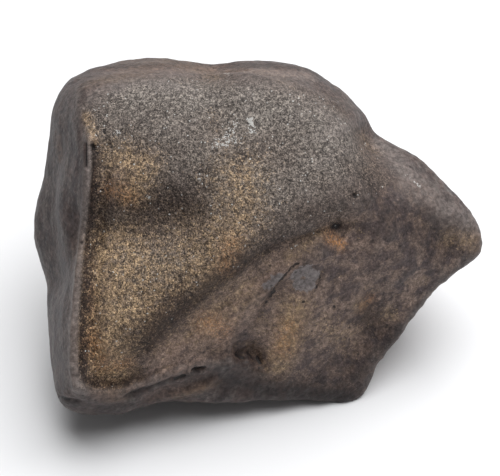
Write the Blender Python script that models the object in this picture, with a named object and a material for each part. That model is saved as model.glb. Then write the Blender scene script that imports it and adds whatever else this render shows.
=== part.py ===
# A stony meteorite: one solid stone with rounded facets, a raised rim, thumbprint hollows and one long spur.
# Metres, +Z up. The stone stands on its small flat resting spot. The origin is on that flat, under the middle
# of the box.
#
# The stone is shaped in the frame of its broad face, which leans back: "across" runs to the right along it,
# "up" runs up it, and "out" stands proud of it. All three are measured from the heart, a point deep inside the
# stone. A direction from the heart has two angles in degrees. Toward goes round the broad face: 0 is right, 90
# is up, 180 is left and 270 is down. Turn goes from the face to the back: 0 is straight out, 90 is edge on and
# 180 is straight back.

import math

import bmesh
import bpy
import numpy as np
from mathutils import Vector, noise

# Driving dimensions
MM = 0.001
FACE_LEAN = math.radians(45)  # how far the broad face leans back from upright
HEART = np.array([-1.38, 0.6, 20.0]) * MM  # where it is from the origin, so that the box is centred there
EDGE_WEAR = 0.8 * MM  # how far the edges between facets are worn round
CREASE_FILL = 0.5 * MM  # how far the crease along the step is filled
FARTHEST = 55 * MM  # no point of the stone is farther from its heart
TRIANGLES = 9300
SPHERE_SPLITS = 5  # how often the sphere that the block is made from is split
CARVING_GRAIN = 0.5 * MM  # the grain of the even mesh that the hollows are carved in
SMOOTHINGS = 2  # how often the carved mesh is smoothed
SHARP_ANGLE = math.radians(50)  # edges sharper than this are shaded as edges

# The gentle swells of the whole skin: (size, height)
SWELLS = {
    "broad": (9.0 * MM, 0.45 * MM),
    "small": (3.6 * MM, 0.16 * MM),
}

# The widest line round the stone, or girdle, counted round from the tip of the spur. At each point the stone
# falls away in a front flank and a back flank, and their turns are the directions that they face.
# across, up and out in millimetres, turn of the front flank, turn of the back flank
GIRDLE = {
    "tip of the spur": (38.0, -1.4, -1.0, 58, 118),
    "spur, top": (33.1, 4.7, -1.0, 56, 116),
    "spur, ridge": (28.4, 9.5, -1.0, 54, 112),
    "spur, root": (23.7, 13.2, -1.0, 54, 112),
    "saddle": (19.4, 15.8, -1.5, 60, 112),
    "shoulder, foot": (17.4, 18.7, -2.0, 66, 112),
    "shoulder": (12.9, 23.3, -3.0, 66, 112),
    "top right": (8.3, 26.3, -4.0, 68, 110),
    "top": (1.2, 27.1, -4.5, 70, 110),
    "notch in the top": (-5.7, 26.5, -4.5, 70, 112),
    "top left": (-12.5, 27.5, -4.0, 70, 112),
    "upper left corner, top": (-21.6, 26.8, -3.0, 69, 112),
    "upper left corner": (-27.5, 24.9, -2.0, 66, 112),
    "upper left corner, side": (-30.8, 19.8, -1.0, 62, 112),
    "left": (-31.3, 12.0, 0.0, 61, 112),
    "left, widest": (-32.8, 2.7, 0.0, 58, 112),
    "waist": (-30.9, -6.0, 1.0, 63, 112),
    "left, below the waist": (-30.2, -12.0, 2.0, 66, 112),
    "left, foot": (-29.0, -20.6, 4.0, 68, 114),
    "lower left corner": (-27.7, -24.2, 5.0, 70, 116),
    "lower left corner, under": (-24.2, -25.9, 5.0, 68, 115),
    "bottom, left end": (-19.1, -25.8, 4.5, 66, 115),
    "bottom, rising": (-13.3, -24.7, 3.0, 58, 115),
    "bottom": (0.0, -24.8, 2.0, 51, 115),
    "bottom, right end": (12.0, -26.3, 0.0, 54, 115),
    "lower right corner": (16.4, -28.2, -1.0, 56, 115),
    "lower right corner, side": (18.9, -23.2, -1.0, 58, 115),
    "lower right": (19.6, -19.5, -1.0, 60, 116),
    "lower right, hollow": (22.9, -15.3, -1.0, 62, 116),
    "under the spur, hollow": (26.9, -9.3, -1.0, 62, 118),
    "under the spur": (32.0, -4.6, -1.0, 60, 118),
    "tip of the spur, under": (36.0, -3.7, -1.0, 58, 118),
}

# The facets of the front: (toward, turn, distance from the heart). The broad face and the pillow above it are
# one gently curved mass. It ends to the lower right in a step, whose risers drop to the shelf.
BROAD_FACE = {
    "lower": (225, 6, 16.0 * MM),
    "upper": (84, 25, 18.6 * MM),
    "pillow": (50, 26, 19.6 * MM),
    "pillow end": (8, 38, 22.0 * MM),
}
RISERS = {
    "lower": (307, 58, 10.2 * MM),
    "upper": (304, 53, 11.0 * MM),
    "end": (335, 52, 16.4 * MM),
}
SHELF = {
    "shelf": (299, 32, 13.0 * MM),
    "shelf, spur": (320, 36, 16.2 * MM),
}
BROAD_FACE_CURVE = 1.6 * MM  # how softly the parts of the broad face run into each other

# The facets of the back: (toward, turn, distance from the heart).
BACK = {
    "back wall": (80, 150, 19.0 * MM),
    "back left": (160, 130, 25.0 * MM),
    "back right": (20, 128, 27.6 * MM),
    "under the spur": (335, 122, 29.0 * MM),
    "under the right": (305, 129, 27.2 * MM),
    "under the left": (212, 128, 26.4 * MM),
    "under the heel": (258, 160, 22.6 * MM),
    "under the front": (265, 124, 23.0 * MM),
}

GIRDLE_STEPS = 3  # steps of the curve between two points of the girdle
HALVINGS = 24  # how often a ray is halved to find the skin on it
DRAWS = 3  # how often a point is drawn towards the skin
SLOPE_STEP = 0.05 * MM  # how far apart the skin's slope is measured


def direction(toward, turn):
    """Unit vector for the two angles, as across, up and out."""
    toward, turn = math.radians(toward), math.radians(turn)
    edge_on = math.sin(turn)
    return np.array([edge_on * math.cos(toward), edge_on * math.sin(toward), math.cos(turn)])


def worn_max(fields, softness):
    """The highest of several fields at each point, with the edges between them worn round."""
    scaled = np.array(fields) / softness
    highest = scaled.max(axis=0)
    return softness * (highest + np.log(np.exp(scaled - highest).sum(axis=0)))


def facets_field(facets, points, softness=EDGE_WEAR):
    """How far each point is outside the mass that these facets bound."""
    planes = [(direction(toward, turn), distance) for toward, turn, distance in facets.values()]
    return worn_max([points @ normal - distance for normal, distance in planes], softness)


def girdle_curve():
    """The girdle as points of a smooth closed curve: across, up, out and the turns of the two flanks."""
    here = np.array(list(GIRDLE.values())) * [MM, MM, MM, math.pi / 180, math.pi / 180]
    before, after, later = (np.roll(here, steps, axis=0) for steps in (1, -1, -2))
    t = np.linspace(0, 1, GIRDLE_STEPS, endpoint=False)[:, None, None]
    straight = after - before
    bent = 2 * before - 5 * here + 4 * after - later
    twisted = 3 * (here - after) + later - before
    return (here + (straight * t + bent * t**2 + twisted * t**3) / 2).transpose(1, 0, 2).reshape(-1, 5)


CURVE = girdle_curve()
CURVE_RUNS = np.roll(CURVE, -1, axis=0) - CURVE


def flanks_field(points):
    """How far each point is outside the front and back flanks, which meet along the girdle."""
    runs = CURVE_RUNS[:, :2]
    away = points[:, None, :2] - CURVE[None, :, :2]
    shares = np.clip((away * runs).sum(axis=2) / (runs**2).sum(axis=1), 0, 1)
    gaps = np.linalg.norm(away - shares[:, :, None] * runs, axis=2)
    to_left = runs[:, 0] * away[:, :, 1] - runs[:, 1] * away[:, :, 0]
    everyone, nearest = np.arange(len(points)), gaps.argmin(axis=1)
    gap, share, inside = (found[everyone, nearest] for found in (gaps, shares, to_left > 0))
    girdle_out, front, back = (CURVE[nearest] + share[:, None] * CURVE_RUNS[nearest])[:, 2:].T
    beyond = np.where(inside, -gap, gap)
    above = points[:, 2] - girdle_out
    flanks = [beyond * np.sin(turn) + above * np.cos(turn) for turn in (front, back)]
    return worn_max(flanks, EDGE_WEAR) - EDGE_WEAR * math.log(2)


def block_field(points):
    """Signed distance to the faceted stone, negative inside."""
    step = -worn_max([-facets_field(RISERS, points), -facets_field(SHELF, points)], CREASE_FILL)
    broad_face = facets_field(BROAD_FACE, points, BROAD_FACE_CURVE)
    return worn_max([flanks_field(points), broad_face, step, facets_field(BACK, points)], EDGE_WEAR)


def on_block(rays):
    """The points where rays from the heart leave the faceted stone, found by halving."""
    near, far = np.zeros((len(rays), 1)), np.full((len(rays), 1), FARTHEST)
    for _ in range(HALVINGS):
        middle = (near + far) / 2
        inside = block_field(rays * middle)[:, None] < 0
        near, far = np.where(inside, middle, near), np.where(inside, far, middle)
    return rays * near


def block_normals(points):
    """The way out of the faceted stone at each point."""
    steps = np.eye(3) * SLOPE_STEP
    rises = np.column_stack([block_field(points + step) - block_field(points - step) for step in steps])
    return rises / np.linalg.norm(rises, axis=1, keepdims=True)


def drawn_to_block(points):
    """The points drawn straight onto the skin of the faceted stone."""
    for _ in range(DRAWS):
        points = points - block_normals(points) * block_field(points)[:, None]
    return points


# Hollows and ridges follow a line of points. Each has a half-width and a depth in millimetres, and a ridge is a
# hollow of negative depth. Those of the front are drawn on the broad face: (across, up) in millimetres.
FRONT_RELIEFS = {
    "thumbprint across the broad face": ([(-21.0, 0.4), (-12.0, 1.8)], 4.6, 2.0),
    "valley beside the bulge": ([(-6.4, 8.4), (-7.4, 3.4)], 2.4, 0.5),
    "raised rim": ([(-22.0, 13.1), (-22.8, 5.4), (-23.8, -4.5), (-24.5, -17.2), (-24.1, -20.7)], 1.1, -1.1),
    "gutter beside the rim": ([(-20.6, 13.0), (-21.4, 5.4), (-22.3, -4.5), (-22.8, -17.2)], 1.1, 1.05),
    "gutter behind the lip": ([(-21.9, -19.7), (-19.7, -20.6), (-16.2, -19.7)], 1.2, 0.9),
    "bottom lip": ([(-24.1, -21.7), (-21.1, -22.6), (-17.6, -21.7), (-9.2, -18.8), (-1.4, -17.6)], 1.2, -0.7),
    "foot of the step": ([(-12.0, -16.0), (-4.6, -9.6), (4.5, -2.6), (10.0, 0.4)], 1.4, 0.8),
    "rib along the shelf": ([(-12.0, -19.0), (-3.6, -12.4), (5.4, -5.4), (9.4, -0.8)], 2.0, -0.5),
    "trough down the shelf": ([(4.8, -7.5), (2.2, -13.0), (0.6, -16.5)], 2.0, 0.7),
    "swell on the shelf": ([(8.0, -10.0), (6.5, -16.5)], 2.6, -0.7),
    "trough at the right of the shelf": ([(19.0, -9.0), (15.5, -16.5)], 3.0, 0.9),
    "pit above the bottom lip": ([(-0.8, -17.0), (0.8, -17.2)], 1.3, 1.3),
    "dimple at the end of the step": ([(13.2, 1.4), (15.0, 1.2)], 1.9, 1.2),
    "valley below the spur's ridge": ([(18.8, 14.6), (19.2, 11.0), (21.4, 6.0), (29.0, -0.6)], 3.6, 1.5),
    "hollow down from the notch": ([(-5.6, 26.0), (-5.0, 20.0), (-4.4, 16.0)], 2.6, 0.5),
    "hollow in the left side": ([(-29.0, 9.0), (-29.6, 2.0), (-28.6, -6.0)], 2.4, 0.8),
    "streak down the left side": ([(-27.0, 10.0), (-27.2, -2.0)], 1.2, -0.4),
    "hollow in the lower right side": ([(20.0, -14.0), (25.5, -7.0)], 2.8, 1.0),
}
FRONT_FADE = 0.6 * MM  # how softly the reliefs of the front end at the girdle

# Those of the sides and the back are drawn by the directions from the heart: (toward, turn).
BACK_RELIEFS = {
    "upper thumbprint": ([(122, 140), (98, 130)], 6.0, 2.0),
    "thumbprint behind the saddle": ([(48, 136), (36, 126)], 6.5, 2.0),
    "left thumbprint": ([(168, 126), (180, 118)], 5.0, 1.8),
    "low thumbprint": ([(100, 166), (20, 162)], 5.5, 1.8),
    "thumbprint on the top": ([(118, 104), (130, 106)], 4.5, 1.2),
    "thumbprint behind the shoulder": ([(70, 116), (60, 118)], 4.5, 1.4),
    "thumbprint under the spur": ([(352, 114), (342, 122)], 5.0, 1.6),
    "small thumbprint under the left": ([(214, 112), (222, 118)], 3.5, 1.0),
    "ridge down the back": ([(76, 122), (66, 142), (62, 158)], 2.6, -1.2),
}


def distance_to_line(points, line):
    """How far each point is from a line of straight stretches."""
    nearest = np.full(len(points), np.inf)
    for start, end in zip(line[:-1], line[1:]):
        along = end - start
        share = np.clip((points - start) @ along / (along @ along), 0, 1)
        nearest = np.minimum(nearest, np.linalg.norm(points - start - share[:, None] * along, axis=1))
    return nearest


def depth_under(line, half_width, depth, points):
    """How deep each point lies in the hollow along this line."""
    return depth * MM * np.exp(-((distance_to_line(points, line) / (half_width * MM)) ** 2))


def swell(point):
    """How far the skin swells at a point, as it is nowhere flat."""
    return sum(height * noise.noise(Vector(point) / size) for size, height in SWELLS.values())


def carved(points):
    """The points of the faceted stone's skin, moved in at the hollows and out at the ridges and swells."""
    points = drawn_to_block(points)
    depths = -np.array([swell(point) for point in points])
    on_front = 1 / (1 + np.exp(-points[:, 2] / FRONT_FADE))
    for line, half_width, depth in FRONT_RELIEFS.values():
        depths += on_front * depth_under(np.array(line) * MM, half_width, depth, points[:, :2])
    for places, half_width, depth in BACK_RELIEFS.values():
        line = on_block(np.array([direction(toward, turn) for toward, turn in places]))
        depths += depth_under(line, half_width, depth, points)
    return points - block_normals(points) * depths[:, None]


def upright(points):
    """Points of the broad face's frame in the stone's own frame, with +Z up."""
    lean_sin, lean_cos = math.sin(FACE_LEAN), math.cos(FACE_LEAN)
    across, up, out = points.T
    return np.column_stack([across, lean_sin * up - lean_cos * out, lean_cos * up + lean_sin * out]) + HEART


def with_modifier(mesh, kind, **settings):
    """The mesh as this modifier leaves it."""
    holder = bpy.data.objects.new("work", mesh)
    bpy.context.scene.collection.objects.link(holder)
    modifier = holder.modifiers.new("work", kind)
    for name, value in settings.items():
        setattr(modifier, name, value)
    seen = holder.evaluated_get(bpy.context.evaluated_depsgraph_get())
    result = bpy.data.meshes.new_from_object(seen)
    bpy.data.objects.remove(holder)
    return result


def moved(mesh, new_places):
    """The mesh with its points where this function puts them."""
    places = np.empty(3 * len(mesh.vertices))
    mesh.vertices.foreach_get("co", places)
    mesh.vertices.foreach_set("co", new_places(places.reshape(-1, 3)).ravel())
    return mesh


def stone_mesh():
    """The closed surface of the stone, carved on an even fine mesh and then thinned."""
    shell = bmesh.new()
    bmesh.ops.create_icosphere(shell, subdivisions=SPHERE_SPLITS, radius=1)
    ball = bpy.data.meshes.new("meteorite")
    shell.to_mesh(ball)
    shell.free()
    block = with_modifier(moved(ball, on_block), "REMESH", mode="VOXEL", voxel_size=CARVING_GRAIN)
    stone = moved(block, lambda places: upright(carved(places)))
    worn = with_modifier(stone, "SMOOTH", factor=0.5, iterations=SMOOTHINGS)
    return with_modifier(worn, "DECIMATE", ratio=TRIANGLES / (2 * len(worn.polygons)))


def rest_on_flat(mesh):
    """Cuts the resting spot flat at the floor."""
    stone = bmesh.new()
    stone.from_mesh(mesh)
    everything = stone.verts[:] + stone.edges[:] + stone.faces[:]
    floor = {"plane_co": (0, 0, 0), "plane_no": (0, 0, -1)}
    cut = bmesh.ops.bisect_plane(stone, geom=everything, clear_outer=True, **floor)
    rim = [piece for piece in cut["geom_cut"] if isinstance(piece, bmesh.types.BMEdge)]
    bmesh.ops.holes_fill(stone, edges=rim)
    bmesh.ops.recalc_face_normals(stone, faces=stone.faces)
    stone.to_mesh(mesh)
    stone.free()
    mesh.shade_smooth()
    mesh.set_sharp_from_angle(angle=SHARP_ANGLE)
    return mesh


def crust():
    """The dark, faintly glossy skin of the stone, dusted with ochre."""
    material = bpy.data.materials.new("fusion crust")
    material.use_nodes = True
    surface = material.node_tree.nodes["Principled BSDF"]
    surface.inputs["Base Color"].default_value = (0.118, 0.092, 0.078, 1)
    surface.inputs["Roughness"].default_value = 0.72
    surface.inputs["Metallic"].default_value = 0.0
    return material


def clear_scene():
    for obj in list(bpy.data.objects):
        bpy.data.objects.remove(obj)


clear_scene()
stone = bpy.data.objects.new("meteorite", rest_on_flat(stone_mesh()))
stone.data.materials.append(crust())
bpy.context.scene.collection.objects.link(stone)
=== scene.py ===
# A stony meteorite on a pale table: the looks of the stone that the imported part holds.
# Metres, +Z up. Pixels are the photograph's, 500 wide and 476 high, counted from its upper left corner.

import math

import bmesh
import bpy
import numpy as np
from mathutils import Matrix, Vector, noise
from mathutils.bvhtree import BVHTree


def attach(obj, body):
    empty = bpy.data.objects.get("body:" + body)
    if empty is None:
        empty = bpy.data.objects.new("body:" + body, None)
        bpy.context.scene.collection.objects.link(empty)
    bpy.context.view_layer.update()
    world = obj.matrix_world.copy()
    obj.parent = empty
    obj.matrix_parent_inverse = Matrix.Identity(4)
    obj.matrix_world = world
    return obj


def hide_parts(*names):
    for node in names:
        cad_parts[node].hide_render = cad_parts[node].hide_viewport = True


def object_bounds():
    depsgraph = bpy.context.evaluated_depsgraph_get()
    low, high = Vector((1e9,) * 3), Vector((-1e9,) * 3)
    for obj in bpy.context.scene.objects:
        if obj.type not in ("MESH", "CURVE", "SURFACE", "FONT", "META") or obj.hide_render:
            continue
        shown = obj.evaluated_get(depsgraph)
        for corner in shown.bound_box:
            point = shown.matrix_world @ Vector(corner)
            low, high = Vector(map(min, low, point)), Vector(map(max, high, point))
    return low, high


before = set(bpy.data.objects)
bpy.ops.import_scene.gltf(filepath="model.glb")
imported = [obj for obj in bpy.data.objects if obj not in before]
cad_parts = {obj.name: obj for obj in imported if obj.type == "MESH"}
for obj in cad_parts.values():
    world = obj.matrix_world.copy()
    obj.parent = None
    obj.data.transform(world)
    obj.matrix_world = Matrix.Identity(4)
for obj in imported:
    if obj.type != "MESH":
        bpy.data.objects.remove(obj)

cad_box = [list(corner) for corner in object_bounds()]

# The eye. The photograph looks straight at the broad face, from 45 degrees over the table, through a long
# lens. Its middle is the heart of the stone, which is seen from 230 mm away.
heart = Vector((-0.00138, 0.0006, 0.0200))
look_down = math.radians(45)
eye_gap = 0.230
lens_mm, film_mm = 110.4, 36.0
middle_pixel = (250, 238)
pixels_wide = 500
film_per_pixel = film_mm / lens_mm / pixels_wide

to_right = Vector((1, 0, 0))
to_top = Vector((0, math.sin(look_down), math.cos(look_down)))
to_eye = Vector((0, -math.cos(look_down), math.sin(look_down)))
eye = bpy.data.objects.new("eye", bpy.data.cameras.new("eye"))
eye.location = heart + eye_gap * to_eye
eye.rotation_euler = (math.pi / 2 - look_down, 0, 0)
eye.data.lens, eye.data.sensor_width = lens_mm, film_mm
bpy.context.scene.collection.objects.link(eye)
bpy.context.scene.camera = eye

# The stone. A single piece of chondrite, weathered on the ground: a thin melted crust, worn smooth on its
# edges and sandy in its hollows. It is one body with no joint, and it stands on its own flat.
grain = 0.000355
same_place, resting_height = 1e-6, 0.2 * grain
smoothings, pull_in, push_out = 14, 0.5, -0.52  # out again after each pull, so that the stone keeps its size

stone_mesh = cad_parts["meteorite"].data.copy()
shaping = bmesh.new()
shaping.from_mesh(stone_mesh)
bmesh.ops.remove_doubles(shaping, verts=shaping.verts, dist=same_place)
shaping.to_mesh(stone_mesh)
shaping.free()
stone = bpy.data.objects.new("stone", stone_mesh)
bpy.context.scene.collection.objects.link(stone)
fine = stone.modifiers.new("fine", "REMESH")
fine.mode, fine.voxel_size = "VOXEL", grain
stone_mesh = bpy.data.meshes.new_from_object(stone.evaluated_get(bpy.context.evaluated_depsgraph_get()))
stone.modifiers.clear()
stone.data = stone_mesh

shaping = bmesh.new()
shaping.from_mesh(stone_mesh)
off_table = [vert for vert in shaping.verts if vert.co.z > resting_height]
all_ways = {"use_axis_x": True, "use_axis_y": True, "use_axis_z": True}
for pull in (pull_in, push_out) * smoothings:
    bmesh.ops.smooth_vert(shaping, verts=off_table, factor=pull, **all_ways)
shaping.normal_update()
skin_tree = BVHTree.FromBMesh(shaping)
places = np.array([vert.co for vert in shaping.verts])
facing = np.array([vert.normal for vert in shaping.verts])
pairs = np.array([[vert.index for vert in edge.verts] for edge in shaping.edges])


def spot(pixel):
    """The point of the stone that shows at this pixel."""
    right, up = pixel[0] - middle_pixel[0], middle_pixel[1] - pixel[1]
    right, up = right * film_per_pixel, up * film_per_pixel
    return skin_tree.ray_cast(eye.location, to_right * right + to_top * up - to_eye)[0]


def along(pixels, step=4):
    """Points of the skin under a line drawn over these pixels."""
    pixels = np.array(pixels, float)
    found = [spot(pixels[0])]
    for start, end in zip(pixels[:-1], pixels[1:]):
        steps = max(1, round(float(np.linalg.norm(end - start)) / step))
        found += [spot(start + (end - start) * share / steps) for share in range(1, steps + 1)]
    return np.array([point for point in found if point is not None])


def close_to(pixels, half_width):
    """How close the skin is to such a line: 1 on it, and about a third a half-width (in mm) away."""
    line, reach = along(pixels), 3 * half_width / 1000
    near = np.all((places > line.min(axis=0) - reach) & (places < line.max(axis=0) + reach), axis=1)
    gaps = np.full(near.sum(), np.inf)
    starts, ends = (line[:-1], line[1:]) if len(line) > 1 else (line, line)
    for start, run in zip(starts, ends - starts):
        share = np.clip((places[near] - start) @ run / max(run @ run, 1e-18), 0, 1)
        gaps = np.minimum(gaps, np.linalg.norm(places[near] - start - share[:, None] * run, axis=1))
    closeness = np.zeros(len(places))
    closeness[near] = np.exp(-((gaps * 1000 / half_width) ** 2))
    return closeness


def past(pixels, softness):
    """1 where the skin shows to the right of one who walks along these pixels, and 0 to the left."""
    away = places - np.array(eye.location)
    depth = -away @ np.array(to_eye) * film_per_pixel
    seen = np.column_stack([away @ np.array(to_right) / depth, -(away @ np.array(to_top)) / depth])
    seen += middle_pixel
    nearest, signed = np.full(len(places), np.inf), np.zeros(len(places))
    for start, end in zip(np.array(pixels[:-1], float), np.array(pixels[1:], float)):
        run = end - start
        share = np.clip((seen - start) @ run / (run @ run), 0, 1)
        gap = np.linalg.norm(seen - start - share[:, None] * run, axis=1)
        side = np.sign((seen - start)[:, 1] * run[0] - (seen - start)[:, 0] * run[1])
        signed = np.where(gap < nearest, side * gap, signed)
        nearest = np.minimum(nearest, gap)
    return 1 / (1 + np.exp(-signed / softness))


def rough(size_mm, seed=0):
    """Soft noise of about this size at each point of the skin, from -1 to 1."""
    shift = Vector((seed * 7.3, seed * 3.1, seed * 5.7))
    return np.array([noise.noise(Vector(place) * 1000 / size_mm + shift) for place in places])


# Lines of the stone as the photograph shows them, and the sides that they part: the rim with its strip and
# gutter, the lip at the bottom, the upper lip, the foot of the step, and where the sand runs out on the spur.
rim_line = [(79, 104), (82, 119), (87, 136), (90, 152), (90, 178), (88, 200), (85, 221), (83, 245), (80, 275),
            (78, 320), (77, 365), (79, 386)]
rim_strip = [(87, 130), (89, 150), (89, 177), (85, 209), (82, 235), (79, 260), (75, 300), (72, 340),
             (72, 372), (76, 390)]
lip_line = [(79, 386), (88, 391), (121, 391), (139, 385), (165, 376), (184, 368), (203, 365), (229, 362),
            (245, 366), (262, 378), (352, 394)]
top_line = [(356, 124), (340, 104), (300, 86), (250, 76), (200, 76), (140, 82), (110, 90), (79, 104)]
step_line = [(120, 384), (147, 350), (183, 312), (215, 287), (247, 264), (277, 246), (330, 229),
             (350, 212), (372, 196)]
step_strip = [(152, 362), (190, 322), (220, 297), (251, 274), (281, 256), (328, 236)]
spur_line = [(450, 230), (431, 215), (407, 196), (383, 168), (362, 124)]
gutter_line = [(95, 148), (94, 178), (92, 200), (90, 225), (87, 250), (84, 290), (82, 330), (82, 372)]
darkened_gutter = [(96, 150), (95, 178), (93, 200), (91, 225), (88, 250), (85, 290), (83, 330), (83, 372)]
ledge_line = [(150, 401), (177, 394), (200, 388), (216, 380)]
inclusion_crack = [(299, 263), (291, 268), (285, 276), (279, 283), (272, 293)]
upper_crest = [(110, 88), (140, 80), (200, 75), (250, 75), (300, 86), (335, 104)]
left_side = past([(79, 0)] + rim_line + [(79, 476)], 1.0)
under_lip = past([(0, 380)] + lip_line + [(500, 410)], 1.8)
over_top = past([(500, 190), (370, 136)] + top_line + [(60, 104), (0, 104)], 4.0)
over_shelf = past([(90, 450)] + step_line, 4.0)
on_spur = past([(500, 236)] + spur_line + [(355, 0)], 5.0)

carve = {  # pixels, half-width and depth in millimetres; what has a depth under 0 stands out
    "crest of the rim": (rim_strip, 0.5, -0.3),
    "gutter inside the rim": (gutter_line, 0.6, 0.35),
    "notch in the rim": ([(94, 146), (95, 148)], 0.45, 0.5),
    "crack behind the crest": ([(86, 144), (86, 165)], 0.35, 0.35),
    "crease under the step": (step_line[1:7], 0.5, 0.32),
    "strip below the crease": (step_strip, 0.7, -0.2),
    "crest of the bottom lip": (lip_line[:9], 0.55, -0.35),
    "groove behind the lip": ([(92, 386), (120, 386), (138, 379), (165, 369), (186, 362)], 0.5, 0.25),
    "groove under the lip": ([(127, 395), (147, 390), (172, 380)], 0.5, 0.5),
    "pit under the lip": ([(178, 379), (184, 377)], 0.5, 0.7),
    "second pit under the lip": ([(194, 371), (202, 369)], 0.5, 0.7),
    "lump between the pits": ([(188, 373), (190, 372)], 0.45, -0.4),
    "ledge in the bottom band": (ledge_line, 0.7, -0.45),
    "groove over that ledge": ([(160, 391), (185, 386), (208, 376)], 0.7, 0.3),
    "hollow in the bottom band": ([(222, 388), (262, 392)], 1.6, 0.5),
    "ledge at the lower left": ([(80, 397), (105, 402), (135, 399)], 0.8, -0.2),
    "step in the lower left corner": ([(57, 396), (66, 400), (78, 401)], 0.5, 0.5),
    "crest of the upper lip": (upper_crest, 0.9, -0.18),
    "crack left of the inclusion": (inclusion_crack, 0.35, 0.22),
    "crack right of the inclusion": ([(322, 272), (318, 286)], 0.35, 0.25),
    "inclusion": ([(298, 275), (306, 271), (312, 278), (303, 284)], 1.1, 0.08),
    "lump by the pit": ([(229, 365), (233, 362)], 0.7, -0.35),
    "lump in the pit": ([(247, 361), (250, 364)], 0.5, -0.4),
    "lump above the pit": ([(240, 347), (244, 345)], 0.5, -0.35),
    "lump right of the pit": ([(262, 371), (264, 374)], 0.5, -0.3),
    "pit, left": ([(238, 354), (243, 358)], 0.5, 0.5),
    "pit, right": ([(256, 354), (260, 363)], 0.5, 0.4),
    "fissure on the shelf": ([(272, 294), (264, 306), (258, 322)], 0.5, 0.25),
    "crater": ([(336, 227), (338, 227)], 0.6, 0.6),
    "dimple on the shoulder": ([(355, 195), (356, 195)], 0.4, 0.4),
    "trough right of the shelf": ([(372, 312), (392, 338)], 1.6, 0.3),
    "rough end of the step": ([(328, 242), (342, 236)], 0.8, 0.25),
    "scratches on the top": ([(222, 73), (248, 70)], 0.4, 0.15),
}
lumpy = 1 + over_shelf  # rougher there, and most of all round the pit and along the lip
lumpy += 2.5 * close_to([(236, 350), (262, 364)], 2.4) + 1.8 * close_to(lip_line[:8], 1.6)
inward = lumpy * (0.09 * rough(2.6, 1) + 0.06 * rough(1.2, 2) + 0.03 * rough(0.8, 3))
for pixels, half_width, depth in carve.values():
    inward += depth * close_to(pixels, half_width)
flat_edge = 0.0008  # the flat itself stays level, and the carving sets in over this height
settled = np.clip(places[:, 2] / flat_edge, 0, 1)
moved = np.clip(places - facing * (inward * settled / 1000)[:, None], *cad_box)
for vert, place in zip(shaping.verts, moved):
    vert.co = place
shaping.to_mesh(stone_mesh)
shaping.free()
stone_mesh.shade_smooth()

# How far the skin lies in a hollow, in millimetres: under the same stone smoothed over about 2 mm
evenings, kept_share = 60, 0.4
evened = moved.copy()
neighbours = np.bincount(pairs.ravel(), minlength=len(places))[:, None]
for _ in range(evenings):
    total = np.zeros_like(evened)
    for axis in range(3):
        total[:, axis] += np.bincount(pairs[:, 0], evened[pairs[:, 1], axis], len(places))
        total[:, axis] += np.bincount(pairs[:, 1], evened[pairs[:, 0], axis], len(places))
    evened = kept_share * evened + (1 - kept_share) * total / neighbours
hollow = ((evened - moved) * facing).sum(axis=1) * 1000

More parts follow.
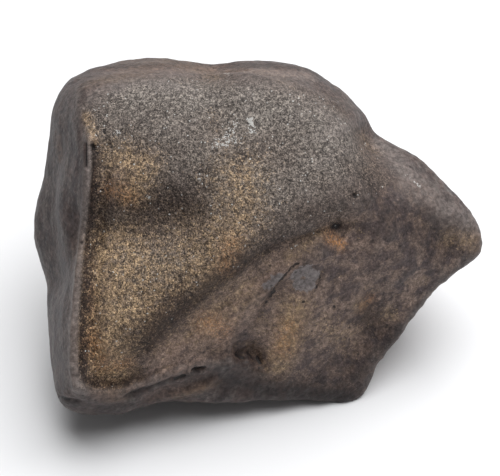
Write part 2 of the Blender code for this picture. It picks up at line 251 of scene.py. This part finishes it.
marks = {  # pixels, half-width in millimetres, strength
    "ochre": {
        "by the top of the rim": ([(86, 116), (91, 129), (94, 141)], 0.7, 0.9),
        "upper": ([(122, 160), (142, 168), (132, 192)], 2.4, 0.85),
        "below the dark band": ([(104, 240), (120, 236)], 2.0, 0.4),
        "middle band": ([(238, 178), (240, 215), (222, 255), (190, 285)], 3.4, 0.75),
        "across the middle": ([(200, 250), (160, 285), (150, 310)], 4.0, 0.55),
        "lower": ([(106, 258), (112, 300), (108, 345)], 3.6, 0.9),
        "lower right": ([(132, 258), (140, 290), (128, 330)], 4.0, 0.6),
        "lowest": ([(104, 345), (111, 375)], 2.6, 1.0),
        "on the shelf": ([(297, 308), (290, 332), (284, 351), (276, 365)], 2.0, 1.0),
        "right of it": ([(326, 328), (346, 336)], 2.0, 0.35),
        "shelf, left": ([(205, 330), (226, 312), (245, 296)], 2.6, 0.4),
        "strip by the step": ([(290, 256), (325, 232)], 1.1, 0.5),
        "under the lip": ([(177, 396), (196, 390), (216, 383)], 0.9, 0.75),
        "low left": ([(112, 399), (122, 399)], 1.0, 0.4),
        "right edge": ([(357, 305), (362, 306)], 1.0, 0.6),
        "right edge, outer": ([(388, 312), (393, 316)], 1.0, 0.5),
        "tip of the spur": ([(450, 236), (474, 242)], 1.6, 0.5),
    },
    "rust": {
        "end of the step": ([(329, 237), (341, 245)], 0.9, 1.0),
        "upper": ([(112, 190), (128, 196)], 1.6, 0.5),
        "middle band": ([(232, 245), (225, 270)], 1.5, 0.5),
        "foot of the face": ([(95, 340), (104, 368), (124, 364)], 1.4, 0.5),
        "spur": ([(420, 186), (432, 196)], 1.4, 0.35),
        "shelf": ([(205, 322), (222, 330)], 1.8, 0.45),
        "right edge": ([(370, 300), (362, 307)], 1.0, 0.5),
        "on the shelf": ([(290, 326), (283, 352)], 1.6, 0.45),
        "foot of the face, left": ([(92, 290), (93, 350)], 1.0, 0.2),
    },
    # Darker marks: stains, and painted shade in the dark band, the step, the gutter by the rim, under the
    # lips and the spur's ridge, in the pits and along the bottom band
    "stain_and_shade": {
        "dark band": ([(98, 214), (140, 212), (182, 200)], 3.0, 0.3),
        "darkest": ([(162, 200), (183, 202)], 1.8, 0.25),
        "streak on the bulge": ([(241, 154), (239, 172)], 0.6, 0.5),
        "under the rim's middle": ([(96, 190), (99, 240)], 1.0, 0.5),
        "along the rim": ([(93, 245), (89, 300), (87, 365)], 0.7, 0.65),
        "step": (step_line[1:7], 1.2, 0.55),
        "step, low": ([(146, 340), (187, 299)], 2.8, 0.75),
        "step, middle": ([(214, 282), (244, 261), (276, 244)], 1.8, 0.5),
        "foot of the face": ([(84, 378), (104, 384), (126, 382)], 0.9, 0.75),
        "pit": ([(236, 350), (262, 364)], 1.7, 0.8),
        "right of the shelf": ([(366, 314), (388, 342)], 2.6, 0.7),
        "crater": ([(336, 227), (346, 227)], 0.8, 0.9),
        "dimple": ([(355, 195), (356, 195)], 0.4, 1.0),
        "below the ridge": ([(366, 180), (392, 214)], 2.6, 0.6),
        "below the ridge, outer": ([(412, 228), (440, 248)], 2.6, 0.6),
        "gutter": (darkened_gutter, 0.6, 0.9),
        "rim's notch": ([(94, 145), (95, 148)], 0.5, 1.0),
        "crack behind the crest": ([(86, 144), (86, 165)], 0.35, 0.8),
        "groove under the lip": ([(127, 395), (147, 390), (172, 380), (204, 370)], 0.6, 0.7),
        "behind the lip": ([(86, 380), (96, 386), (120, 386), (136, 378)], 0.7, 0.6),
        "bottom band": ([(222, 380), (270, 390), (345, 398)], 2.2, 0.75),
        "bottom band, left": ([(100, 407), (140, 402), (200, 394)], 1.3, 0.4),
        "fissure on the shelf": ([(274, 290), (264, 306), (256, 324)], 0.9, 0.4),
        "under the inclusion": ([(284, 284), (278, 296)], 0.7, 0.6),
        "shelf, lower left": ([(208, 350), (228, 362)], 1.3, 0.4),
        "lower left corner": ([(60, 400), (80, 408), (100, 412)], 1.4, 0.4),
        "top band": ([(110, 67), (200, 64), (300, 68)], 1.8, 0.42),
        "left side, upper": ([(60, 125), (54, 190), (52, 230)], 3.0, 0.15),
        "top left": ([(62, 95), (90, 76)], 1.6, 0.25),
        "lower right": ([(315, 385), (338, 362), (362, 350), (345, 392)], 2.8, 0.45),
        "lower right, edge": ([(350, 370), (368, 372), (345, 392)], 1.8, 0.3),
    },
    # Lighter grey and mauve marks: wear, and painted highlight on the upper face, the spur's ridge, the
    # crests of the rim and lips and the strip by the step
    "wear_and_highlight": {
        "upper face": ([(125, 100), (200, 95), (280, 102), (330, 128)], 5.0, 0.9),
        "below it": ([(125, 135), (200, 135)], 3.0, 0.5),
        "shoulder": ([(230, 130), (300, 140), (345, 165)], 5.0, 0.3),
        "spur's ridge": ([(384, 146), (412, 178), (448, 212), (472, 222)], 2.2, 0.6),
        "middle of the face": ([(205, 165), (262, 190), (305, 180)], 5.0, 0.5),
        "face, left": ([(140, 255), (190, 258), (232, 228)], 4.0, 0.35),
        "crest of the rim": (rim_strip, 0.6, 0.9),
        "rim, middle": (rim_strip[3:], 0.9, 0.6),
        "rim, low": (rim_strip[5:], 1.5, 0.6),
        "strip by the step": (step_strip, 0.9, 0.5),
        "shelf, left": ([(205, 335), (235, 310)], 3.0, 0.5),
        "crest of the bottom lip": (lip_line[:8], 0.5, 0.6),
        "ledge in the bottom band": (ledge_line, 0.6, 0.3),
        "top right": ([(255, 70), (305, 76)], 1.6, 0.8),
        "upper left corner": ([(66, 98), (84, 124)], 2.2, 0.35),
    },
    "warm": {
        "shelf, left": ([(176, 356), (215, 328), (250, 300), (285, 262)], 3.4, 1.0),
        "shelf, middle": ([(270, 360), (285, 320), (300, 300)], 3.4, 0.9),
        "shelf, right": ([(330, 350), (350, 310), (365, 260)], 4.6, 0.3),
        "strip by the step": ([(150, 366), (205, 318), (247, 283), (285, 258), (325, 230)], 1.3, 0.6),
        "top band": ([(110, 70), (200, 68), (300, 72)], 2.2, 0.6),
        "bottom lip": ([(92, 393), (125, 391), (150, 384), (205, 368)], 0.9, 0.5),
        "bottom band": ([(150, 398), (215, 384)], 1.4, 0.5),
        "left side": ([(57, 140), (62, 160)], 1.2, 0.6),
    },
    "pale": {
        "light spot": ([(250, 120), (253, 132)], 0.5, 1.0),
        "light spot, left": ([(218, 142), (228, 136), (236, 122)], 1.1, 0.42),
        "light spot, lower": ([(240, 140), (214, 148)], 1.0, 0.36),
        "white grain": ([(117, 132), (117, 133)], 0.45, 1.0),
        "grain by the dark band": ([(147, 196), (150, 198)], 0.35, 0.7),
        "grain on the bulge": ([(233, 168), (234, 169)], 0.3, 0.7),
        "grain by it": ([(199, 179), (201, 180)], 0.35, 0.6),
        "grain by the step": ([(291, 248), (295, 246)], 0.4, 0.7),
        "grain by the top of the rim": ([(96, 108), (97, 110)], 0.5, 0.5),
        "scratch on the spur": ([(407, 175), (421, 187)], 0.3, 0.65),
        "scratches on the top": ([(220, 73), (226, 75), (233, 75)], 0.45, 0.5),
        "second scratch on the top": ([(239, 73), (245, 72)], 0.45, 0.5),
        "grain at the foot": ([(112, 386), (113, 387)], 0.3, 0.6),
    },
    "slate": {
        "inclusion": ([(297, 276), (306, 270), (314, 276), (309, 285), (299, 284)], 1.05, 1.0),
        "small inclusion": ([(268, 285), (277, 278)], 0.9, 0.85),
    },
    # Near-black marks: cracks, and painted shade in the pits, the crater, the dimple and the notch
    "crack": {
        "left of the inclusion": (inclusion_crack, 0.3, 0.6),
        "right of it": ([(322, 273), (319, 285), (313, 293)], 0.28, 0.6),
        "under the lip": ([(130, 394), (147, 389), (160, 385)], 0.25, 0.9),
        "pit under the lip": ([(176, 380), (185, 377)], 0.35, 1.0),
        "second pit under the lip": ([(194, 371), (204, 368)], 0.35, 1.0),
        "notch in the rim": ([(93, 145), (96, 148)], 0.35, 1.0),
        "behind the crest": ([(86, 144), (86, 165)], 0.25, 0.9),
        "corner": ([(58, 397), (68, 401)], 0.3, 0.9),
        "pit, left": ([(239, 355), (244, 358)], 0.3, 0.8),
        "pit, right": ([(257, 357), (260, 364)], 0.3, 0.8),
        "pit, middle": ([(248, 353), (251, 357)], 0.3, 0.75),
        "crater": ([(335, 227), (339, 227)], 0.4, 1.0),
        "dimple": ([(355, 195), (356, 196)], 0.3, 1.0),
        "pock on the shelf": ([(334, 307), (335, 308)], 0.25, 1.0),
        "second pock": ([(303, 302), (304, 302)], 0.25, 0.9),
        "mark on the upper face": ([(104, 130), (106, 133)], 0.25, 0.9),
        "fissure on the shelf": ([(275, 292), (266, 304)], 0.25, 0.7),
    },
}
carried = {}
for name, strokes in marks.items():
    left_out = [1 - share * close_to(line, half_width) for line, half_width, share in strokes.values()]
    carried[name] = 1 - np.prod(left_out, axis=0)
behind = np.clip(2 * facing[:, 1], 0, 1)  # no photograph shows the back, so noise spreads its dust and stains
carried["ochre"] = np.maximum(carried["ochre"], 0.55 * behind * np.clip(1.6 * rough(9, 5), 0, 1))
carried["stain_and_shade"] = np.maximum(carried["stain_and_shade"], 0.4 * behind * np.clip(1.8 * rough(12, 6), 0, 1))
worn_edge = np.clip((-hollow - 0.05) / 0.25, 0, 1)  # what stands out is worn bare, and dust lies in hollows
carried["hollow"] = np.clip((hollow - 0.03) / 0.20, 0, 1)
dusted_share = (1 - left_side) * (1 - under_lip) * (1 - 0.85 * over_top)
carried["bare"] = 1 - dusted_share * (1 - 0.88 * on_spur) * (1 - 0.5 * worn_edge)
carried["shelf"] = over_shelf * (1 - carried["bare"])
carried["sandy"] = (1 - carried["bare"]) * (1 - 0.7 * over_shelf) * (1 - carried["slate"])
for name, amount in carried.items():
    stone_mesh.attributes.new(name, "FLOAT", "POINT").data.foreach_set("value", amount.astype(np.float32))

crust = bpy.data.materials.new("weathered crust")
crust.use_nodes = True
crust_nodes, crust_links = crust.node_tree.nodes, crust.node_tree.links


def feed(socket, value):
    """Gives a socket another node's output, or its own value."""
    if isinstance(value, bpy.types.NodeSocket):
        crust_links.new(value, socket)
    else:
        socket.default_value = value


def crust_node(kind, inputs, **settings):
    """A node of the crust with these inputs, by name or number, and settings."""
    made = crust_nodes.new("ShaderNode" + kind)
    for name, value in settings.items():
        setattr(made, name, value)
    for name, value in inputs.items():
        feed(made.inputs[name], value)
    return made


def carried_amount(name):
    """One of the amounts that the skin carries."""
    return crust_node("Attribute", {}, attribute_name=name).outputs["Fac"]


def figure(operation, *values):
    """A number from 0 to 1 worked out from others."""
    return crust_node("Math", dict(enumerate(values)), operation=operation, use_clamp=True).outputs[0]


def spanned(value, low, high, to_low=0.0, to_high=1.0):
    """A number moved from one span to another, and kept in it."""
    inputs = {"Value": value, "From Min": low, "From Max": high, "To Min": to_low, "To Max": to_high}
    return crust_node("MapRange", inputs).outputs[0]


def painted(share, under, over, kind="MIX"):
    """One colour laid over another."""
    made = crust_node("Mix", {0: share, 6: under, 7: over}, data_type="RGBA", blend_type=kind)
    return made.outputs[2]


def cloud(size_mm, detail=3.0):
    """Soft noise of about this size, around a half."""
    return crust_node("TexNoise", {"Vector": spots, "Scale": 1000 / size_mm, "Detail": detail}).outputs["Fac"]


def drawn_out(lean, size_mm, stretch=7.0):
    """Soft noise drawn out along a line on the broad face, which leans by this many degrees from level."""
    turn = (Matrix.Rotation(look_down, 3, "X") @ Matrix.Rotation(math.radians(lean), 3, "Z")).to_euler()
    inputs = {"Vector": spots, "Rotation": turn, "Scale": (stretch, 1, 1)}
    turned = crust_node("Mapping", inputs, vector_type="TEXTURE").outputs["Vector"]
    return crust_node("TexNoise", {"Vector": turned, "Scale": 1000 / size_mm, "Detail": 3.0}).outputs["Fac"]


def times(first, second):
    """One number times another."""
    return figure("MULTIPLY", first, second)


def by_sand(on_crust, on_sand):
    """A number that goes from one value on the bare crust to another on the sandy face."""
    return spanned(sandy, 0.0, 1.0, on_crust, on_sand)


# What the looks are made of: grains, each with lots of its own to draw, pocks, waves and clouds
grains_per_m, pocks_per_m, waves_per_m = 5600.0, 520.0, 2600.0
spots = crust_node("TexCoord", {}).outputs["Object"]
grains = crust_node("TexVoronoi", {"Vector": spots, "Scale": grains_per_m})
lots = crust_node("SeparateColor", {"Color": grains.outputs["Color"]}).outputs
pocks = crust_node("TexVoronoi", {"Vector": spots, "Scale": pocks_per_m})
pock_lots = crust_node("SeparateColor", {"Color": pocks.outputs["Color"]}).outputs
waves = crust_node("TexNoise", {"Vector": spots, "Scale": waves_per_m, "Detail": 2.0, "Distortion": 1.6})
wavy = waves.outputs["Fac"]
patchy, mottled, speckled, dusted = cloud(7.0), cloud(2.0), cloud(0.6), cloud(0.9)
down_side, up_shelf = drawn_out(88, 0.9), drawn_out(38, 0.8)
amounts = {name: carried_amount(name) for name in carried}
ochre, rust, stain_and_shade, wear_and_highlight, warm = (amounts[name] for name in ("ochre", "rust", "stain_and_shade", "wear_and_highlight", "warm"))
bare, sandy, slate, pale = (amounts[name] for name in ("bare", "sandy", "slate", "pale"))

# The sandy face: brown grains, worn grey ones that also carry painted highlight on the upper face, and ochre
# ones where the dust lies
brown, worn_and_lit_grey = (0.104, 0.080, 0.068, 1), (0.168, 0.152, 0.140, 1)
shelf_dark, shelf_brown = (0.070, 0.052, 0.052, 1), (0.175, 0.128, 0.107, 1)
sand, rusty, warm_brown = (0.330, 0.238, 0.148, 1), (0.420, 0.205, 0.080, 1), (0.235, 0.168, 0.138, 1)
colour = painted(figure("ADD", wear_and_highlight, spanned(patchy, 0.35, 0.7, -0.15, 0.3)), brown, worn_and_lit_grey)
blotched = painted(spanned(mottled, 0.42, 0.58), shelf_dark, shelf_brown)
colour = painted(amounts["shelf"], colour, blotched)
colour = painted(times(warm, spanned(up_shelf, 0.38, 0.62, 0.25, 1.15)), colour, warm_brown)
dusty = figure("ADD", ochre, times(amounts["hollow"], 0.2))
dusty = times(dusty, spanned(dusted, 0.32, 0.68, 0.3, 1.3))
sand_grain = figure("GREATER_THAN", times(dusty, 0.9), lots["Red"])
colour = painted(figure("MULTIPLY_ADD", sand_grain, 0.36, times(dusty, 0.58)), colour, sand)
colour = painted(times(rust, spanned(lots["Blue"], 0.3, 0.6, 0.1, 0.9)), colour, rusty)

# The bare crust: charcoal with plum patches, streaks down the side, and mauve that is wear and painted
# highlight on the crests
charcoal, plum, mauve = (0.048, 0.037, 0.037, 1), (0.108, 0.078, 0.071, 1), (0.195, 0.166, 0.156, 1)
warm_plum, earth, slate_grey = (0.165, 0.112, 0.090, 1), (0.190, 0.120, 0.072, 1), (0.168, 0.148, 0.146, 1)
worn = painted(spanned(mottled, 0.38, 0.66, 0.0, 0.8), charcoal, plum)
worn = painted(spanned(down_side, 0.50, 0.68, 0.0, 0.45), worn, worn_and_lit_grey)
worn = painted(times(wear_and_highlight, 0.85), worn, mauve)
worn = painted(times(warm, spanned(speckled, 0.35, 0.6, 0.3, 0.9)), worn, warm_plum)
worn = painted(times(ochre, 0.6), worn, earth)
colour = painted(bare, colour, worn)
uneven = spanned(speckled, 0.3, 0.7, -0.25, 0.25)
colour = painted(spanned(figure("ADD", slate, uneven), 0.35, 0.5), colour, slate_grey)

# Each grain is darker or lighter than the next, most of all on the sandy face. These multiply the colour.
tone = crust_node("ValToRGB", {"Fac": lots["Green"]}).outputs["Color"]
ramp = tone.node.color_ramp
ramp.elements[0].color, ramp.elements[1].color = (0.12, 0.11, 0.11, 1), (2.00, 1.96, 1.88, 1)
ramp.elements.new(0.24).color = (0.55, 0.53, 0.52, 1)
ramp.elements.new(0.45).color = (1.05, 1.03, 1.02, 1)
# The waves and lumps that raise the relief also darken the colour in their furrows and lighten it on their
# crests: painted shade and painted highlight
furrow_shade, crest = (0.40, 0.38, 0.38, 1), (1.36, 1.36, 1.34, 1)
shaded, lit, stain_and_shade_tint = (0.62, 0.60, 0.60, 1), (1.38, 1.38, 1.37, 1), (0.20, 0.165, 0.17, 1)
grainy = painted(0.8, colour, tone, "MULTIPLY")
grainy = painted(1.0, grainy, painted(spanned(wavy, 0.36, 0.60), furrow_shade, crest), "MULTIPLY")
colour = painted(by_sand(0.2, 1.0), colour, grainy)
colour = painted(1.0, colour, painted(spanned(speckled, 0.32, 0.68), shaded, lit), "MULTIPLY")
# Stains and painted shade darken the colour here, by whole grains on the sandy face
dark_grain = times(figure("GREATER_THAN", stain_and_shade, lots["Blue"]), sandy)
stain_and_shade_share = times(stain_and_shade, spanned(mottled, 0.3, 0.6, 0.8, 1.1))
stain_and_shade_share = figure("MULTIPLY_ADD", dark_grain, 0.6, times(stain_and_shade_share, by_sand(1.0, 0.4)))
colour = painted(stain_and_shade_share, colour, stain_and_shade_tint, "MULTIPLY")

# Cracks are near black, and so are the pits and pocks, painted shade in their hollows. Chips, and a few loose
# grains of the sandy face, are white.
crack_black_and_pit_shade, chip_white = (0.018, 0.014, 0.014, 1), (0.50, 0.49, 0.47, 1)
pocked = figure("LESS_THAN", pocks.outputs["Distance"], 0.11)
pocked = times(pocked, figure("GREATER_THAN", pock_lots["Red"], 0.6))
cracked = spanned(figure("ADD", amounts["crack"], uneven), 0.42, 0.56)
broken = figure("MAXIMUM", cracked, times(pocked, 0.75))
colour = painted(times(broken, 0.9), colour, crack_black_and_pit_shade)
chipped = times(pale, spanned(speckled, 0.35, 0.65, 0.5, 1.3))
chipped = figure("GREATER_THAN", chipped, spanned(lots["Blue"], 0.0, 1.0, 0.28, 0.95))
loose_grain = times(figure("GREATER_THAN", lots["Blue"], 0.996), figure("GREATER_THAN", sandy, 0.5))
colour = painted(figure("MAXIMUM", times(chipped, 0.85), loose_grain), colour, chip_white)

# The finest relief: round grains, waves between them and soft lumps, with the cracks sunk in
relief_depth = 0.00036
rounded = figure("SUBTRACT", 1.0, grains.outputs["Distance"])
height = figure("MULTIPLY_ADD", rounded, by_sand(0.05, 0.2), times(speckled, 0.4))
height = figure("MULTIPLY_ADD", wavy, by_sand(0.1, 0.5), height)
height = figure("SUBTRACT", height, times(broken, 0.4))
relief = crust_node("Bump", {"Height": height, "Strength": 1.0, "Distance": relief_depth})

crust_roughness, sand_roughness, crust_shine = 0.48, 0.7, 0.3
surface = crust_nodes["Principled BSDF"]
feed(surface.inputs["Base Color"], colour)
feed(surface.inputs["Roughness"], by_sand(crust_roughness, sand_roughness))
feed(surface.inputs["Specular IOR Level"], crust_shine)
feed(surface.inputs["Normal"], relief.outputs["Normal"])

stone_mesh.materials.clear()
stone_mesh.materials.append(crust)
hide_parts("meteorite")
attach(stone, "root")

# The table and the light. A white matt sheet under a wide soft lamp that hangs over the back of the stone.
table_white, room_white = (0.84, 0.845, 0.86, 1), (1.0, 1.0, 1.0, 1)
table_size, paper_roughness, lamp_size = 3.0, 0.6, 0.65
lamp_place = Vector((0.10, 0.12, 0.60))
lamp_power, room_power = 6.2, 0.28
room_lean = (0.18, 0.10, -0.16)  # more of the room's glow from the right and the back, less from above

sheet = bmesh.new()
bmesh.ops.create_grid(sheet, x_segments=1, y_segments=1, size=table_size)
table_mesh = bpy.data.meshes.new("table")
sheet.to_mesh(table_mesh)
sheet.free()
table = bpy.data.objects.new("table", table_mesh)
bpy.context.scene.collection.objects.link(table)
paper = bpy.data.materials.new("white paper")
paper.use_nodes = True
paper_surface = paper.node_tree.nodes["Principled BSDF"]
paper_surface.inputs["Base Color"].default_value = table_white
paper_surface.inputs["Roughness"].default_value = paper_roughness
table_mesh.materials.append(paper)

lamp = bpy.data.objects.new("lamp", bpy.data.lights.new("lamp", "AREA"))
lamp.data.size, lamp.data.energy = lamp_size, lamp_power
lamp.location = lamp_place
lamp.rotation_euler = (heart - lamp_place).to_track_quat("-Z", "Y").to_euler()
bpy.context.scene.collection.objects.link(lamp)
room = bpy.data.worlds.new("room")
room.use_nodes = True
room_nodes, room_links = room.node_tree.nodes, room.node_tree.links
room_nodes["Background"].inputs["Color"].default_value = room_white
room_side = room_nodes.new("ShaderNodeTexCoord")
room_lit = room_nodes.new("ShaderNodeVectorMath")
room_lit.operation = "DOT_PRODUCT"
room_lit.inputs[1].default_value = room_lean
room_glow = room_nodes.new("ShaderNodeMath")
room_glow.operation, room_glow.use_clamp = "ADD", True
room_glow.inputs[1].default_value = room_power
room_links.new(room_side.outputs["Generated"], room_lit.inputs[0])
room_links.new(room_lit.outputs["Value"], room_glow.inputs[0])
room_links.new(room_glow.outputs[0], room_nodes["Background"].inputs["Strength"])
bpy.context.scene.world = room
bpy.context.scene.view_settings.view_transform = "Standard"
